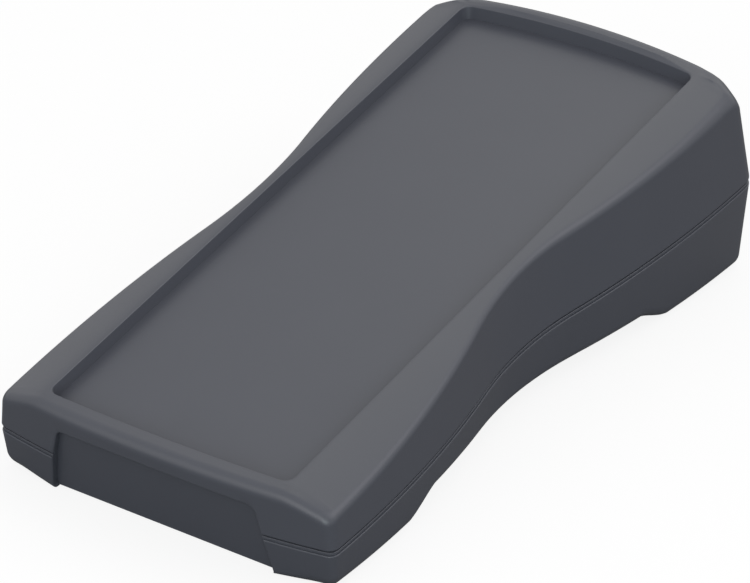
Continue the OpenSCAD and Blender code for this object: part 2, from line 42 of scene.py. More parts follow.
# Outline at the seam, in millimetres and degrees
case_length = 173.6
thin_width = 84.4
waist_width = 70
thick_width = 84.5
thin_peak = 72.4
thick_peak = 75.8
waist_offset = -1.2
waist_radius = 90
thin_bow = 220
thick_bow = 260
thin_corner = 2.4
thick_corner = 6
corner_growth = 2
rim_growth = 5
wall_growth = 0.35

# Heights from the seam, and leans of the walls
thin_rise = 11.1
thick_rise = 27.2
thin_drop = 9.3
thick_drop = 23
side_draft = 5.5
thin_draft = 1.5
thick_draft = 8
lower_draft = 5.5
lower_end_draft = 6.5

# Rim and keypad area
side_rim = 5
thin_rim = 6.65
thick_rim = 11.25
shoulder_fall = 15
shoulder_radius = 75
shoulder_turn = 1.2
thin_crown = 0.6
thick_crown = 0.2
crown_slope = 7
facet_slope = 18
facet_rise = 0.7
corner_fall = 3.5
thin_edge = 2.4
waist_edge = 1.7
edge_growth = 2
thick_edge = 4
corner_edge = 4.2
recess_depth = 3.1
thin_recess_bow = 1.4
thick_recess_bow = 2.2
recess_corner = 2.4
recess_draft = 4

# Walls, seam groove and feet
wall = 2.6
recess_wall = 2.2
base_wall = 2.6
groove_height = 1.3
tongue_height = 2
tongue_wall = 1.1
tongue_gap = 0.1
thin_foot = 33.6
thick_foot = 36.6
foot_slope = 10
ramp_ease = 0.4
thin_belly = 3.7
thick_belly = 3.8
base_edge = 3.4
base_end_edge = 0.8
foot_blend = 11

# End panels
opening_width = 52.4
opening_lean = 14.4
foot_lean = 9.6
opening_corner = 2.2
lip_height = 4.1
opening_arch = 1
thin_setback = 3.6
thick_setback = 6.2
panel_lean = 5.3
panel_wall = 1.8
panel_lap = 1.5
panel_gap = 0.12
panel_headroom = 0.4
panel_lift = 0.1
slot_lift = 1.6
rib_wall = 2
rib_width = 4

# Screws and pillars
screw_x = 31
screw_inset = 18.5
shank_d = 2.6
shank_length = 9
point_length = 0.8
head_d = 5.2
head_height = 2
head_round = 0.5
head_flat_share = 0.7
cross_arms = 4
cross_width = 0.9
cross_length = 3
cross_depth = 1.1
cross_taper = 0.7
pilot_gap = 0.05
screw_gap = 0.4
clamp_wall = 3
boss_wall = 2
boss_gap = 0.1
pillar_x = 24
pillar_inset = 8
pillar_d = 6
pillar_hole_d = 2.2
pillar_drop = 2

# Small roundings of the moulded edges, and the lines and band in the seam groove
recess_edge_round = 0.2
seam_round = 0.25
mouth_round = 0.5
flare_height = 1.2
flare_round = 1.82
plate_round = 0.15
upper_line = 0.5
lower_line = 0.22
line_depth = 0.85
lower_line_depth = 0.5
band_depth = 0.3
band_round = 0.08

# Small distances that only the drawing needs
past = 1
guard = 0.5
probe = 0.5
cutter_drop = 4
cutter_reach = 3
mouth_lead = 0.5
rib_offset = 0.012
weld = 0.002 * MM

# Steps in which the surfaces are drawn
end_steps = 24
corner_steps = 12
foot_steps = 18
slope_steps = 10
belly_steps = 70
edge_steps = 11
base_steps = 11
rim_steps = 8
round_steps = 9
arch_steps = 24
flare_steps = 8
circle_steps = 48
head_steps = 8
mouth_passes = 4

# Places of the rings on a wall, close to its two edges and between them
wall_shares = (0.03, 0.35, 0.65, 0.97)

# Angle between two faces from which their edge is shaded as a sharp one
sharp_angle = 24

# Looks of the plastic and the zinc
graphite = (0.062, 0.066, 0.081)
graphite_roughness = 0.33
colour_drift = 0.04
roughness_drift = 0.05
drift_scale = 60
drift_detail = 4
grain_scale = 2600
grain_detail = 3
grain_strength = 0.25
grain_height = 0.05 * MM
zinc_dark = (0.42, 0.42, 0.45)
zinc_light = (0.5, 0.5, 0.52)
zinc_smooth = 0.3
zinc_rough = 0.42
cloud_scale = 900
cloud_detail = 2

# Floor, sky and lamps, in metres: the object sees a greyer floor and sky than the camera does
floor_size = 6
floor_gap = 0.05 * MM
floor_round_object = (0.2, 0.2, 0.2)
floor_in_view = (0.9, 0.9, 0.9)
floor_white_share = 0.86
sky_round_object = 0.755
sky_in_view = 1
lamp_aim = (0, 0, 0.02)

# The camera that was fitted to the photo
sensor_width = 36
focal_length = 207.6
clip_start = 0.05
camera_place = (0.44242, -0.6717, 0.47636)
camera_turn = (1.052509, -0.01659, 0.595723)

# The thin end and the left side are -1, the thick end and the right side 1
ends = (-1, 1)
sides = (-1, 1)


def tan(degrees):
    return math.tan(math.radians(degrees))


def between(a, b, share):
    return a + (b - a) * share


def mixed(a, b, share):
    return tuple(between(u, v, share) for u, v in zip(a, b))


def clamped(share):
    return min(1, max(0, share))


def sagitta(r, chord):
    return r - math.sqrt(r * r - chord * chord)


def unit(a):
    length = math.hypot(*a)
    return tuple(v / length for v in a)


def quarter_turn(steps):
    return [math.pi / 2 * i / steps for i in range(steps + 1)]


half_length = case_length / 2
groove_half = groove_height / 2
tongue_top = groove_half + tongue_height
recess_half_width = waist_width / 2 - side_rim
recess_half_length = half_length - (thin_rim + thick_rim) / 2
recess_middle = (thin_rim - thick_rim) / 2
recess_bow = {-1: thin_recess_bow, 1: thick_recess_bow}
skirt_wall = wall - tongue_wall - tongue_gap


def length_share(y):
    return y / case_length + 0.5


def top_plane(y):
    return between(thin_rise, thick_rise, length_share(y))


def ceiling(y):
    return top_plane(y) - recess_depth - recess_wall


def ground(y):
    return -between(thin_drop, thick_drop, length_share(y))


# The sides: a hollow arc at the waist, tangent to a swelling arc on either hand
def arc_sum(reach, swell):
    return (reach * reach + swell * swell) / (2 * swell)


thin_sum = arc_sum(thin_peak + waist_offset, (thin_width - waist_width) / 2)
thick_sum = arc_sum(thick_peak - waist_offset, (thick_width - waist_width) / 2)
side_centre = {-1: (thin_width / 2 - thin_sum + waist_radius, -thin_peak),
               1: (thick_width / 2 - thick_sum + waist_radius, thick_peak)}
side_radius = {-1: thin_sum - waist_radius, 1: thick_sum - waist_radius}
waist_centre = (waist_width / 2 + waist_radius, waist_offset)
thin_join = waist_offset - waist_radius * (thin_peak + waist_offset) / thin_sum
thick_join = waist_offset + waist_radius * (thick_peak - waist_offset) / thick_sum
bow_radius = {-1: thin_bow, 1: thick_bow}
end_centre = {end: (0, end * (half_length - bow_radius[end])) for end in ends}


# A place on the outline is x, y and the two parts of the normal that points out of the case
def on_arc(centre, r, normal):
    return (centre[0] + r * normal[0], centre[1] + r * normal[1], normal[0], normal[1])


def side_place(y):
    if thin_join <= y <= thick_join:
        rise = (y - waist_offset) / waist_radius
        hollow = on_arc(waist_centre, waist_radius, (-math.sqrt(1 - rise * rise), rise))
        return (hollow[0], hollow[1], -hollow[2], -hollow[3])
    end = -1 if y < thin_join else 1
    rise = (y - side_centre[end][1]) / side_radius[end]
    return on_arc(side_centre[end], side_radius[end], (math.sqrt(1 - rise * rise), rise))


# The corners: each is an arc tangent to its end and to its side
def meet(a, a_radius, b, b_radius, hand):
    gap = math.dist(a, b)
    reach = (a_radius * a_radius - b_radius * b_radius + gap * gap) / (2 * gap)
    off = math.sqrt(a_radius * a_radius - reach * reach)
    way = ((b[0] - a[0]) / gap, (b[1] - a[1]) / gap)
    return (a[0] + reach * way[0] - hand * off * way[1], a[1] + reach * way[1] + hand * off * way[0])


def corner_centre(end, r):
    return meet(end_centre[end], bow_radius[end] - r, side_centre[end], side_radius[end] - r, -end)


def turn_from(centre, end, r):
    corner = corner_centre(end, r)
    return unit((corner[0] - centre[end][0], corner[1] - centre[end][1]))


def end_place(end, r, share):
    across = turn_from(end_centre, end, r)[0] * share
    return on_arc(end_centre[end], bow_radius[end], (across, end * math.sqrt(1 - across * across)))


def corner_place(end, r, share):
    start = turn_from(end_centre, end, r)
    stop = turn_from(side_centre, end, r)
    a = between(math.atan2(start[1], start[0]), math.atan2(stop[1], stop[0]), share)
    return on_arc(corner_centre(end, r), r, (math.cos(a), math.sin(a)))


def side_end(end, r):
    return side_centre[end][1] + side_radius[end] * turn_from(side_centre, end, r)[1]


thin_foot_end = -half_length + thin_foot
thick_foot_end = half_length - thick_foot


def side_stops(thin_r, thick_r):
    marks = [side_end(-1, thin_r), thin_foot_end, thin_foot_end + foot_slope,
             thick_foot_end - foot_slope, thick_foot_end, side_end(1, thick_r)]
    counts = [foot_steps, slope_steps, belly_steps, slope_steps, foot_steps]
    stops = [between(a, b, i / n) for a, b, n in zip(marks, marks[1:], counts) for i in range(n)]
    return stops + [marks[-1]]


def right_half(thin_r, thick_r):
    return ([end_place(-1, thin_r, i / end_steps) for i in range(end_steps + 1)]
            + [corner_place(-1, thin_r, i / corner_steps) for i in range(1, corner_steps)]
            + [side_place(y) for y in side_stops(thin_r, thick_r)]
            + [corner_place(1, thick_r, i / corner_steps) for i in range(corner_steps - 1, 0, -1)]
            + [end_place(1, thick_r, i / end_steps) for i in range(end_steps, -1, -1)])


# Adds the mirror image of the right half, in which x and the normal's x change sign
def around(half):
    return half + [tuple(-v if k % 2 == 0 else v for k, v in enumerate(p)) for p in half[-2:0:-1]]


outline = around(right_half(thin_corner, thick_corner))
soft_outline = around(right_half(thin_corner + corner_growth, thick_corner))
rim_outline = around(right_half(thin_corner + corner_growth, thick_corner + rim_growth))
ring_size = len(outline)
last = ring_size // 2
thin_foot_index = end_steps + corner_steps + foot_steps
thick_foot_index = last - thin_foot_index


def inward(p, inset, height):
    return (p[0] - p[2] * inset, p[1] - p[3] * inset, height)


def ring_of(places, inset, height):
    return [inward(p, inset, height) for p in places]


def end_draft(y):
    return thin_draft if y < 0 else thick_draft


def upper_lean(p):
    return tan(side_draft) * p[2] ** 2 + tan(end_draft(p[1])) * p[3] ** 2


def lower_lean(p):
    return tan(lower_draft) * p[2] ** 2 + tan(lower_end_draft) * p[3] ** 2


# The rim: shoulders that fall away at the sides, and crowned ends
def shoulder(a):
    if a <= 0:
        return 0
    straight = tan(shoulder_fall) * (math.hypot(a, shoulder_turn) - shoulder_turn)
    return straight + sagitta(shoulder_radius, a)


def crown(x, y):
    end = -1 if y < recess_middle else 1
    across = 1 - (x / recess_half_width) ** 2
    arch = max(0, across)
    beyond = max(0, abs(y - recess_middle) - recess_half_length - recess_bow[end] * arch)
    rise = tan(crown_slope) * beyond * across
    if end < 0:
        return thin_crown * arch + rise
    if across < 0:
        return rise * corner_fall
    return thick_crown * arch + min(tan(facet_slope) * beyond, facet_rise * arch) + rise


def rim(x, y):
    return top_plane(y) - shoulder(abs(x) - recess_half_width) + crown(x, y)


def edge_radius(p):
    end_edge = thin_edge if p[1] < 0 else thick_edge
    r = between(waist_edge, end_edge, min(1, abs(p[1]) / thin_peak) ** edge_growth)
    return r if p[1] < 0 else r + corner_edge * (2 * p[2] * p[3]) ** 2


# Points of an arc of radius r that is tangent to both ways from an edge, as inset and height
def rounded(edge, along_wall, along_face, r, steps):
    a, b = unit(along_wall), unit(along_face)
    opening = math.acos(a[0] * b[0] + a[1] * b[1])
    reach = r / math.tan(opening / 2)
    to_centre = unit((a[0] + b[0], a[1] + b[1]))
    centre = [edge[k] + to_centre[k] * r / math.sin(opening / 2) for k in (0, 1)]
    start = [edge[k] + a[k] * reach - centre[k] for k in (0, 1)]
    stop = [edge[k] + b[k] * reach - centre[k] for k in (0, 1)]
    sweep = math.pi - opening
    points = []
    for i in range(steps + 1):
        u, v = math.sin(sweep * (1 - i / steps)), math.sin(sweep * i / steps)
        points.append(tuple(centre[k] + (start[k] * u + stop[k] * v) / math.sin(sweep) for k in (0, 1)))
    return points


def rim_under(p, inset):
    return rim(p[0] - p[2] * inset, p[1] - p[3] * inset)


def top_edge(p):
    lean = upper_lean(p)
    first = lean * rim_under(p, lean * top_plane(p[1]))
    inset = lean * rim_under(p, first)
    slope = (rim_under(p, inset + probe) - rim_under(p, inset)) / probe
    return rounded((inset, rim_under(p, inset)), (-lean, -1), (1, slope), edge_radius(p), edge_steps)


# The keypad area: a long rectangle with bowed ends and tangent corner arcs
recess_end_radius = {end: (recess_half_width ** 2 + bow ** 2) / (2 * bow)
                     for end, bow in recess_bow.items()}
side_shares = [(y - side_end(-1, thin_corner)) / (side_end(1, thick_corner) - side_end(-1, thin_corner))
               for y in side_stops(thin_corner, thick_corner)]


def recess_quarter(end, inset):
    middle = recess_half_length + recess_bow[end] - recess_end_radius[end]
    r = recess_end_radius[end] - inset
    corner_x = recess_half_width - recess_corner
    corner_r = recess_corner - inset
    corner_y = middle + math.sqrt((r - corner_r) ** 2 - corner_x ** 2)
    turn = math.atan2(corner_y - middle, corner_x)
    quarter = []
    for i in range(end_steps + 1):
        x = r * math.cos(turn) * i / end_steps
        quarter.append((x, recess_middle + end * (middle + math.sqrt(r * r - x * x))))
    for i in range(1, corner_steps):
        a = turn * (1 - i / corner_steps)
        x = corner_x + corner_r * math.cos(a)
        quarter.append((x, recess_middle + end * (corner_y + corner_r * math.sin(a))))
    return quarter, recess_middle + end * corner_y


def recess_ring(inset):
    thin, start = recess_quarter(-1, inset)
    thick, stop = recess_quarter(1, inset)
    run = [(recess_half_width - inset, between(start, stop, s)) for s in side_shares]
    return around(thin + run + thick[::-1])


# Rings that both shells have: the lip at the seam, above it (1) or below it (-1), and the wall
def lip_rings(lean_at, side):
    lips = []
    for p in outline:
        lean = lean_at(p)
        ways = [(lean, side), (1, 0)]
        edge = (lean * groove_half, side * groove_half)
        lips.append(rounded(edge, *ways[::side], seam_round, round_steps))
    return [[inward(p, *lip[j]) for p, lip in zip(outline, lips)] for j in range(round_steps + 1)]


def wall_rings(upper, lower):
    return [[mixed(a, b, share) for a, b in zip(upper, lower)] for share in wall_shares]


# Rings of the top shell, from the floor of the keypad area over the rim and back up inside
def recess_rings():
    lean = tan(recess_draft)
    foot_inset = recess_depth * lean
    rings = []
    for inset in (foot_inset + guard, foot_inset):
        rings.append([(x, y, top_plane(y) - recess_depth) for x, y in recess_ring(inset)])
    for a in quarter_turn(round_steps):
        drop = recess_edge_round * (1 - math.sin(a))
        inset = drop * lean - recess_edge_round * (1 - math.cos(a))
        rings.append([(x, y, rim(x, y) - drop) for x, y in recess_ring(inset)])
    return rings


def top_edge_rings():
    hard = [top_edge(p) for p in outline]
    soft = [top_edge(p) for p in rim_outline]
    rings = []
    for j in range(edge_steps, -1, -1):
        share = between(wall_growth, 1, j / edge_steps)
        rings.append([mixed(inward(p, *e[j]), inward(q, *f[j]), share)
                      for p, q, e, f in zip(outline, rim_outline, hard, soft)])
    return rings


def rim_rings(inner, outer):
    rings = []
    for i in range(1, rim_steps):
        share = i / rim_steps
        ring = []
        for a, b in zip(inner, outer):
            x, y = between(a[0], b[0], share), between(a[1], b[1], share)
            ring.append((x, y, rim(x, y) + (b[2] - rim(b[0], b[1])) * share * share))
        rings.append(ring)
    return rings


def top_shell_rings():
    recess = recess_rings()
    edge = top_edge_rings()
    lips = lip_rings(upper_lean, 1)
    rings = recess + rim_rings(recess[-1], edge[0]) + edge + wall_rings(edge[-1], lips[0]) + lips
    rings.append(ring_of(outline, skirt_wall, groove_half))
    rings.append(ring_of(outline, skirt_wall, tongue_top + tongue_gap))
    rings.append(ring_of(soft_outline, wall, tongue_top + tongue_gap))
    roof = []
    for p in soft_outline:
        x, y, _ = inward(p, wall + upper_lean(p) * ceiling(p[1]), 0)
        roof.append((x, y, ceiling(y)))
    return rings + [roof]


# Rings of the bottom shell, from its inner floor over the tongue and down to the feet
def eased(share):
    share = clamped(share)
    return between(share, share * share * (3 - 2 * share), ramp_ease)


def belly(y):
    share = (y - thin_foot_end - foot_slope) / (thick_foot_end - thin_foot_end - 2 * foot_slope)
    ramps = min(eased((y - thin_foot_end) / foot_slope), eased((thick_foot_end - y) / foot_slope))
    return between(thin_belly, thick_belly, clamped(share)) * ramps


def base_at(p, inset):
    return ground(p[1] - p[3] * inset) + belly(p[1])


def base_edge_of(p):
    lean = lower_lean(p)
    inset = -lean * base_at(p, 0)
    r = between(base_end_edge, base_edge, clamped((abs(p[0]) - opening_width / 2) / foot_blend))
    return rounded((inset, base_at(p, inset)), (-lean, 1), (1, 0), r, base_steps)


def base_point(p, edge, j):
    inset, height = edge[j]
    return inward(p, inset, base_at(p, inset) + height - edge[-1][1])


def base_rings():
    hard = [base_edge_of(p) for p in outline]
    soft = [base_edge_of(p) for p in soft_outline]
    rings = []
    for j in range(base_steps + 1):
        rings.append([mixed(base_point(p, e, j), base_point(q, f, j), j / base_steps)
                      for p, q, e, f in zip(outline, soft_outline, hard, soft)])
    sole = []
    for p, edge in zip(soft_outline, soft):
        inset = edge[-1][0] + guard
        sole.append(inward(p, inset, base_at(p, inset)))
    return rings + [sole]


def groove_profile():
    high, low = groove_half - upper_line, lower_line - groove_half
    band_edge = band_depth + band_round
    return [(line_depth, groove_half), (line_depth, high), (band_edge, high),
            (band_depth, high - band_round), (band_depth, low + band_round),
            (band_edge, low), (lower_line_depth, low), (lower_line_depth, -groove_half)]


def bottom_shell_rings():
    inner_floor = []
    for p in soft_outline:
        inset = wall - lower_lean(p) * (base_at(p, 0) + base_wall)
        inner_floor.append(inward(p, inset, base_at(p, inset) + base_wall))
    tongue = [ring_of(soft_outline, wall, tongue_top),
              ring_of(outline, wall - tongue_wall, tongue_top),
              ring_of(outline, wall - tongue_wall, groove_half)]
    groove = [ring_of(outline, inset, height) for inset, height in groove_profile()]
    lips = lip_rings(lower_lean, -1)
    base = base_rings()
    return [inner_floor] + tongue + groove + lips + wall_rings(lips[-1], base[0]) + base


# The case stands on its feet, with the middle of its length over the origin
tilt = math.atan((thick_drop - thin_drop) / case_length)


def opening_side(height):
    return opening_width / 2 - height * tan(foot_lean if height < 0 else opening_lean)


def end_y(end, x, height):
    draft = lower_end_draft if height < 0 else end_draft(end)
    return end * (half_length - sagitta(bow_radius[end], x) - abs(height) * tan(draft))


def level_y(y, height):
    return y * math.cos(tilt) - height * math.sin(tilt)


def lip_y(i):
    p, q = outline[i], rim_outline[i]
    _, y, height = mixed(inward(p, *top_edge(p)[0]), inward(q, *top_edge(q)[0]), wall_growth)
    return level_y(y, height)


def beside_opening(end, height):
    return level_y(end_y(end, opening_side(height), height), height)


thin_end_y = min(lip_y(0), beside_opening(-1, groove_half))
thick_end_y = max(lip_y(last), beside_opening(1, -groove_half),
                  beside_opening(1, ground(half_length) + base_end_edge))
skin_shift = -(thin_end_y + thick_end_y) / 2
standing = (Matrix.Scale(MM, 4) @ Matrix.Translation((0, skin_shift, -ground(0) * math.cos(tilt)))
            @ Matrix.Rotation(tilt, 4, "X"))


# Solids from rings of points, and their sums and differences
def placed(name, mesh):
    obj = bpy.data.objects.new(name, mesh)
    bpy.context.scene.collection.objects.link(obj)
    return obj


def solid(name, points, faces):
    mesh = bpy.data.meshes.new(name)
    mesh.from_pydata([standing @ Vector(p) for p in points], [], faces)
    bm = bmesh.new()
    bm.from_mesh(mesh)
    bmesh.ops.recalc_face_normals(bm, faces=bm.faces)
    bm.to_mesh(mesh)
    bm.free()
    return placed(name, mesh)


def ring_faces(count, size):
    faces = []
    for j in range(count - 1):
        near, far = j * size, (j + 1) * size
        faces += [(near + i, near + (i + 1) % size, far + (i + 1) % size, far + i) for i in range(size)]
    return faces


def lofted(name, rings, caps=None):
    size = len(rings[0])
    first = (len(rings) - 1) * size
    if caps is None:
        caps = [list(range(size)), list(range(first, first + size))]
    return solid(name, [p for ring in rings for p in ring], ring_faces(len(rings), size) + caps)


# The inner floor and the underside each have a face over either foot, and strips across the belly
def sole_faces(first):
    def left(i):
        return (ring_size - i) % ring_size

    thin = [left(i) for i in range(thin_foot_index, 0, -1)] + list(range(thin_foot_index + 1))
    thick = list(range(thick_foot_index, ring_size - thick_foot_index + 1))
    strips = [[left(i), i, i + 1, left(i + 1)] for i in range(thin_foot_index, thick_foot_index)]
    return [[first + k for k in face] for face in [thin, thick] + strips]


def joined(name, objs):
    bm = bmesh.new()
    for obj in objs:
        bm.from_mesh(obj.data)
        bpy.data.objects.remove(obj)
    mesh = bpy.data.meshes.new(name)
    bm.to_mesh(mesh)
    bm.free()
    return placed(name, mesh)


def combine(obj, tool, operation):
    modifier = obj.modifiers.new("combine", "BOOLEAN")
    modifier.object = tool
    modifier.operation = operation
    modifier.solver = "MANIFOLD"
    graph = bpy.context.evaluated_depsgraph_get()
    mesh = bpy.data.meshes.new_from_object(obj.evaluated_get(graph))
    obj.modifiers.clear()
    bm = bmesh.new()
    bm.from_mesh(mesh)
    bmesh.ops.remove_doubles(bm, verts=bm.verts, dist=weld)
    bmesh.ops.dissolve_degenerate(bm, edges=bm.edges, dist=weld)
    bm.to_mesh(mesh)
    bm.free()
    obj.data = mesh
    bpy.data.objects.remove(tool)


def add(obj, pieces):
    combine(obj, joined("added", pieces), "UNION")


def cut(obj, pieces):
    combine(obj, joined("cutter", pieces), "DIFFERENCE")


def circle(x, y, r, height):
    turns = [2 * math.pi * i / circle_steps for i in range(circle_steps)]
    return [(x + r * math.cos(a), y + r * math.sin(a), height) for a in turns]


def bar(name, x, y, low, high, d):
    return lofted(name, [circle(x, y, d / 2, height) for height in (low, high)])


# End openings and panels: drawn in the plane of a panel, then set along the case
setback = {-1: thin_setback, 1: thick_setback}
lean_of = {-1: math.radians(panel_lean), 1: 0}


def panel_y(end):
    return end * (half_length - setback[end])


def panel_back_y(end):
    return end * (half_length - setback[end] - panel_wall)


def panel_top(end):
    return min(ceiling(panel_y(end)), ceiling(panel_back_y(end))) - panel_headroom


def panel_opening_top(end):
    return top_plane(end * half_length) - lip_height


def lowest_ground(end):
    return max(ground(panel_y(end)), ground(panel_back_y(end)))


def plate_point(end, x, height, depth):
    run, c, s = -end * depth, math.cos(lean_of[end]), math.sin(lean_of[end])
    return (x, panel_y(end) + run * c - height * s, run * s + height * c)


# A point at a depth below the bowed end face: each pass brings it closer to that depth
def mouth_point(end, x, height, depth):
    at = 0
    for _ in range(mouth_passes):
        p = plate_point(end, x, height, at)
        at += end * (p[1] - end_y(end, x, p[2])) + depth
    return plate_point(end, x, height, at)


def flare(end, height):
    return sagitta(flare_round, min(flare_height, max(0, lowest_ground(end) + flare_height - height)))


def other_side(right):
    return [(-x, height) for x, height in reversed(right)]


def opening_points(end, low, grow):
    foot, top = lowest_ground(end), panel_opening_top(end)
    corner_x = opening_side(top) - opening_corner / tan((90 + opening_lean) / 2)
    corner_height = top - opening_corner
    r = opening_corner + grow
    heights = [low] + [foot + flare_height * i / flare_steps for i in range(flare_steps + 1)] + [0]
    widening = grow / math.cos(math.radians(opening_lean))
    right = [(opening_side(h) - flare(end, h) + widening, h) for h in heights]
    for i in range(corner_steps + 1):
        a = math.radians(between(opening_lean, 90, i / corner_steps))
        right.append((corner_x + r * math.cos(a), corner_height + r * math.sin(a)))
    crest = []
    for i in range(1, arch_steps):
        share = between(1, -1, i / arch_steps)
        crest.append((corner_x * share, top + grow + opening_arch * (1 - share * share)))
    return right + crest + other_side(right)


def opening_cutter(end):
    low = lowest_ground(end) - cutter_drop
    wide = opening_points(end, low, mouth_round)
    rings = [[plate_point(end, x, h, -setback[end] - cutter_reach) for x, h in wide],
             [mouth_point(end, x, h, -mouth_lead) for x, h in wide]]
    for a in quarter_turn(round_steps)[1:]:
        grow, depth = mouth_round * (1 - math.sin(a)), mouth_round * (1 - math.cos(a))
        rings.append([mouth_point(end, x, h, depth) for x, h in opening_points(end, low, grow)])
    back = panel_wall + panel_gap / 2
    rings.append([plate_point(end, x, h, back) for x, h in opening_points(end, low, 0)])
    return lofted("opening", rings)


def plate(name, end, shape, near, far):
    return lofted(name, [[plate_point(end, x, h, depth) for x, h in shape] for depth in (near, far)])


def slot_cutter(end):
    low, high = lowest_ground(end) + slot_lift - panel_gap, panel_top(end) + panel_gap
    right = [(opening_side(h) + panel_lap + panel_gap, h) for h in (low, 0, high)]
    return plate("slot", end, right + other_side(right), 0, panel_wall + panel_gap)


def panel_ribs(end, low, high):
    near = panel_wall + panel_gap + rib_offset
    foot, top = opening_side(low) + panel_lap, opening_side(high) + panel_lap
    right = [(foot, low), (foot - rib_width, low), (top - rib_width, high), (top, high)]
    return [plate("rib", end, [(side * x, h) for x, h in right], near, near + rib_wall) for side in sides]


# Places of the screws and pillars
seat = -clamp_wall - boss_gap
head_hole_d = head_d + 2 * screw_gap
shank_hole_d = shank_d + 2 * screw_gap
pilot_d = shank_d + 2 * pilot_gap
screw_places = [(side * screw_x, end * (half_length - screw_inset)) for end in ends for side in sides]
pillar_rows = (thin_foot_end + foot_slope + pillar_inset, thick_foot_end - foot_slope - pillar_inset)
pillar_places = [(side * pillar_x, y) for side in sides for y in pillar_rows]


def floor_under(y):
    return ground(y) + belly(y) + base_wall


def cut_ends(shell):
    for end in ends:
        cut(shell, [opening_cutter(end)])
    cut(shell, [slot_cutter(end) for end in ends])


def top_shell():
    shell = lofted("top_shell_skin", top_shell_rings())
    cut_ends(shell)
    boss_d = pilot_d + 2 * boss_wall
    add(shell, [bar("boss", x, y, 0, ceiling(y) + past, boss_d) for x, y in screw_places])
    ribs = []
    for end in ends:
        ribs += panel_ribs(end, tongue_top + tongue_gap, ceiling(panel_back_y(end)) + past)
    add(shell, ribs)
    pilot_end = seat + shank_length + boss_gap
    cut(shell, [bar("pilot", x, y, -past, pilot_end, pilot_d) for x, y in screw_places])
    return shell


def bottom_shell():
    rings = bottom_shell_rings()
    shell = lofted("bottom_shell_skin", rings, sole_faces(0) + sole_faces((len(rings) - 1) * ring_size))
    cut_ends(shell)
    tube_d = head_hole_d + 2 * boss_wall
    inside = [bar("tube", x, y, ground(y) + base_wall / 2, -boss_gap, tube_d) for x, y in screw_places]
    inside += [bar("pillar", x, y, floor_under(y) - base_wall / 2, -pillar_drop, pillar_d)
               for x, y in pillar_places]
    add(shell, inside)
    ribs = []
    for end in ends:
        ribs += panel_ribs(end, ground(panel_back_y(end)) + base_wall / 2, -groove_half)
    add(shell, ribs)
    holes = [bar("hole", x, y, seat - past, past, shank_hole_d) for x, y in screw_places]
    holes += [bar("hole", x, y, floor_under(y), 0, pillar_hole_d) for x, y in pillar_places]
    cut(shell, holes)
    cut(shell, [bar("well", x, y, seat - thick_drop - past, seat, head_hole_d) for x, y in screw_places])
    return shell


def end_panel(name, end):
    low, top = lowest_ground(end) + panel_lift, panel_top(end)
    step = lowest_ground(end) + slot_lift
    heights = [between(low, step, i / flare_steps) for i in range(flare_steps + 1)]
    right = [(opening_side(h) - flare(end, h) - panel_gap, h) for h in heights]
    right += [(opening_side(h) + panel_lap, h) for h in (step, 0, top)]
    profile = [(plate_round, 0), (0, plate_round), (0, panel_wall - plate_round), (plate_round, panel_wall)]
    rings = []
    for inset, depth in profile:
        half = [(x - inset, min(top - inset, max(low + inset, h))) for x, h in right]
        rings.append([plate_point(end, x, h, depth) for x, h in half + other_side(half)])
    return lofted(name, rings)


def screw_profile():
    head_r, shank_r = head_d / 2, shank_d / 2
    low, point = seat - head_height, seat + shank_length
    profile = [(head_flat_share * head_r, low)]
    for a in quarter_turn(head_steps):
        profile.append((head_r - head_round * (1 - math.sin(a)), low + head_round * (1 - math.cos(a))))
    return profile + [(head_r, seat), (shank_r, seat), (shank_r, point - point_length), (shank_r / 2, point)]


def cross_cutter(x, y):
    reach, half = cross_length / 2, cross_width / 2
    arm = [(reach, -half), (reach, half), (half, half)]
    shape = []
    for _ in range(cross_arms):
        shape += arm
        arm = [(-v, u) for u, v in arm]
    low = seat - head_height
    levels = [(1, low - past), (1, low), (cross_taper, low + cross_depth)]
    return lofted("cross", [[(x + k * u, y + k * v, h) for u, v in shape] for k, h in levels])


def case_screws():
    profile = screw_profile()
    screws = [lofted("screw", [circle(x, y, r, h) for r, h in profile]) for x, y in screw_places]
    obj = joined("case_screw_set", screws)
    cut(obj, [cross_cutter(x, y) for x, y in screw_places])
    return obj


# Materials, with the places of a Mix node's sockets for colours
mix_factor = 0
mix_first = 6
mix_second = 7
mix_result = 2


def link(tree, node, output, target, socket):
    tree.links.new(node.outputs[output], target.inputs[socket])


def new_material(name):
    material = bpy.data.materials.new(name)
    material.use_nodes = True
    return material, material.node_tree


def noise(tree, scale, detail):
    place = tree.nodes.new("ShaderNodeTexCoord")
    texture = tree.nodes.new("ShaderNodeTexNoise")
    texture.inputs["Scale"].default_value = scale
    texture.inputs["Detail"].default_value = detail
    link(tree, place, "Object", texture, "Vector")
    return texture


def colour_between(tree, node, output, low, high, target, socket):
    mix = tree.nodes.new("ShaderNodeMix")
    mix.data_type = "RGBA"
    mix.inputs[mix_first].default_value = (*low, 1)
    mix.inputs[mix_second].default_value = (*high, 1)
    link(tree, node, output, mix, mix_factor)
    link(tree, mix, mix_result, target, socket)


def value_between(tree, node, output, low, high, target, socket):
    spread = tree.nodes.new("ShaderNodeMapRange")
    spread.inputs["To Min"].default_value = low
    spread.inputs["To Max"].default_value = high
    link(tree, node, output, spread, "Value")
    link(tree, spread, "Result", target, socket)


